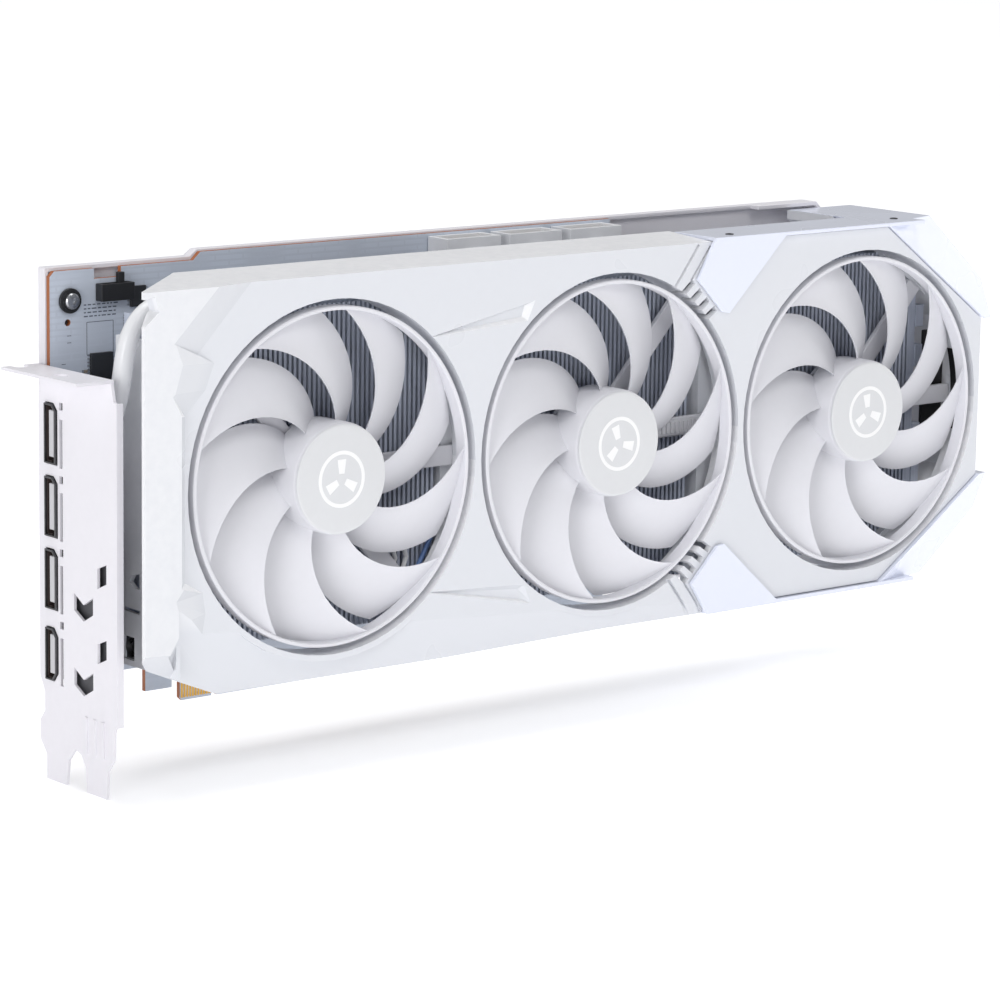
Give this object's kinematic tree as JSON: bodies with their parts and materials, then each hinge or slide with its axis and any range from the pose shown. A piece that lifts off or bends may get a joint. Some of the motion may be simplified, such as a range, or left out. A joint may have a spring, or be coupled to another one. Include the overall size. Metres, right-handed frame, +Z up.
{
  "type": "graphics card",
  "caption": "Long dual-slot graphics card with a faceted white shroud, ringed axial fans that spin, fin stacks, heat pipes, rear plate and slot bracket",
  "frame": {"origin": "underside of the slot bracket's top flange, midway between the two screw places", "axes": "+X along the card from the bracket to the tail, -Y the way the fans face, +Z up with the power sockets, away from the edge connector"},
  "size_m": [0.3485, 0.0544, 0.1494],
  "materials": {
    "white_plastic": "fine satin moulding",
    "accent_plastic": "pearl paint with a lavender tint",
    "fan_plastic": "satin",
    "badge_plastic": "brushed film",
    "white_metal": "powder coat",
    "fin_metal": "dark nickel plating",
    "copper": "bare copper",
    "bronze": "sintered bronze",
    "steel": "plated steel",
    "magnet": "bonded ferrite",
    "board": "pale blue solder mask",
    "black_plastic": "moulded epoxy",
    "silicon": "polished"
  },
  "bodies": {
    "card": {"shroud": "white_plastic", "accent_upper": "accent_plastic", "accent_lower": "accent_plastic", "backplate": "white_metal", "io_bracket": "white_metal", "circuit_board": "board", "gpu_package": "board", "gpu_die": "silicon", "memory_chip_1": "black_plastic", "memory_chip_2": "black_plastic", "memory_chip_3": "black_plastic", "memory_chip_4": "black_plastic", "memory_chip_5": "black_plastic", "memory_chip_6": "black_plastic", "memory_chip_7": "black_plastic", "memory_chip_8": "black_plastic", "displayport_1": "steel", "displayport_2": "steel", "displayport_3": "steel", "hdmi_port": "steel", "power_socket_1": "white_plastic", "power_socket_2": "white_plastic", "power_socket_3": "white_plastic", "bios_switch_body": "black_plastic", "board_screw": "steel", "retention_bracket": "steel", "retention_screw_1": "steel", "retention_screw_2": "steel", "retention_screw_3": "steel", "retention_screw_4": "steel", "fin_stack_1": "fin_metal", "fin_stack_2": "fin_metal", "fin_stack_3": "fin_metal", "heatpipe_1": "white_metal", "heatpipe_2": "white_metal", "heatpipe_3": "white_metal", "heatpipe_4": "white_metal", "cold_plate": "copper", "fan_1_bearing": "bronze", "fan_1_stator": "copper", "fan_1_frame": "fan_plastic", "fan_2_bearing": "bronze", "fan_2_stator": "copper", "fan_2_frame": "fan_plastic", "fan_3_bearing": "bronze", "fan_3_stator": "copper", "fan_3_frame": "fan_plastic"},
    "fan_1": {"fan_1_rotor": "fan_plastic", "fan_1_badge": "badge_plastic", "fan_1_shaft": "steel", "fan_1_magnet": "magnet"},
    "fan_2": {"fan_2_rotor": "fan_plastic", "fan_2_badge": "badge_plastic", "fan_2_shaft": "steel", "fan_2_magnet": "magnet"},
    "fan_3": {"fan_3_rotor": "fan_plastic", "fan_3_badge": "badge_plastic", "fan_3_shaft": "steel", "fan_3_magnet": "magnet"},
    "bios_switch": {"bios_switch_lever": "black_plastic"}
  },
  "joints": [
    {"name": "fan_1_spin", "type": "hinge", "parent": "card", "child": "fan_1", "pos_m": [0.07425, -0.03904, -0.0315], "axis": [0, -1, 0], "continuous": true},
    {"name": "fan_2_spin", "type": "hinge", "parent": "card", "child": "fan_2", "pos_m": [0.17965, -0.03904, -0.0315], "axis": [0, -1, 0], "continuous": true},
    {"name": "fan_3_spin", "type": "hinge", "parent": "card", "child": "fan_3", "pos_m": [0.28505, -0.03904, -0.0315], "axis": [0, -1, 0], "continuous": true},
    {"name": "bios_switch_slide", "type": "slide", "parent": "card", "child": "bios_switch", "axis": [1, 0, 0], "range_m": [-0.004, 0]}
  ]
}
